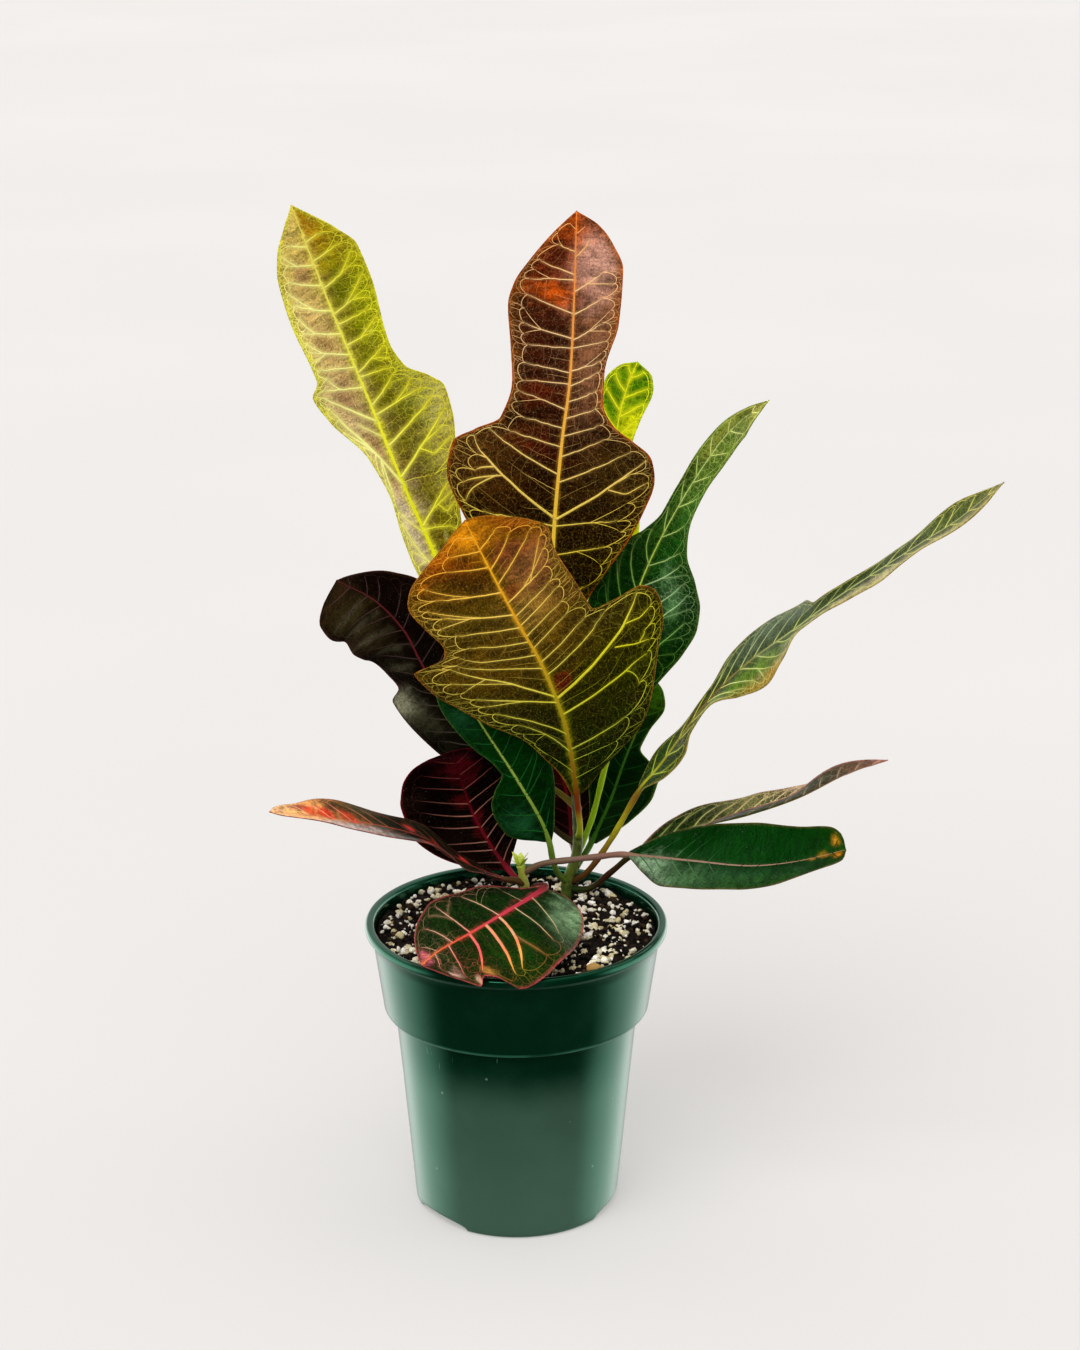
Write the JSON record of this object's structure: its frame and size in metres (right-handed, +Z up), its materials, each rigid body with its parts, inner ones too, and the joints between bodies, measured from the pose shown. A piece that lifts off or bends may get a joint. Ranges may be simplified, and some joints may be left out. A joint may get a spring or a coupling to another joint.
{
  "type": "potted croton",
  "caption": "Croton house plant with broad lobed leaves in green, yellow, bronze and crimson, growing in a round green nursery pot with a stepped collar.",
  "frame": {"origin": "middle of the pot's flat base, on the surface that the pot stands on", "axes": "+Z up along the pot's axis, -Y towards the plant's front, +X towards its right side"},
  "size_m": [0.3779, 0.2371, 0.5484],
  "materials": {
    "pot_plastic": "semi-gloss moulded plastic with light scuffs",
    "soil": "crumbly dark peat and bark mix",
    "perlite": "rough cream-white grains",
    "stem_green": "green bark with leaf scars",
    "stem_tan": "tan bark with a pale yellow-green sprout",
    "leaf_yellow": "satin, bright yellow veins on lime and tan",
    "leaf_bronze": "satin, yellow and orange veins on dark bronze",
    "leaf_olive": "satin, yellow veins on olive and brown",
    "leaf_lime": "satin, yellow veins on bright lime",
    "leaf_green": "glossy, pale yellow-green veins on deep green",
    "leaf_grey_green": "satin, pale net of veins on grey green",
    "leaf_tan_green": "satin, dark green with a tan underside",
    "leaf_dark_green": "glossy, pink midrib on very dark green",
    "leaf_black": "glossy, red midrib on near black",
    "leaf_young_green": "glossy, pale midrib on green",
    "leaf_crimson": "glossy, pink veins and a red midrib on crimson black",
    "leaf_pink": "satin, salmon and dark green",
    "leaf_pink_rib": "glossy, broad pink midrib and rim on dark green",
    "leaf_shade_green": "glossy, dark green",
    "leaf_shade_red": "satin, dark red brown"
  },
  "bodies": {
    "root": {"pot": "pot_plastic", "soil": "soil", "stem_main": "stem_green", "stem_side": "stem_tan", "leaf_yellow": "leaf_yellow", "leaf_bronze": "leaf_bronze", "leaf_olive": "leaf_olive", "leaf_lime": "leaf_lime", "leaf_right_upright": "leaf_green", "leaf_right_long": "leaf_grey_green", "leaf_right_folded": "leaf_tan_green", "leaf_right_low": "leaf_dark_green", "leaf_left_black": "leaf_black", "leaf_green_left": "leaf_young_green", "leaf_crimson": "leaf_crimson", "leaf_left_long": "leaf_pink", "leaf_front_droop": "leaf_pink_rib", "leaf_back_green": "leaf_shade_green", "leaf_back_red": "leaf_shade_red"}
  },
  "joints": []
}
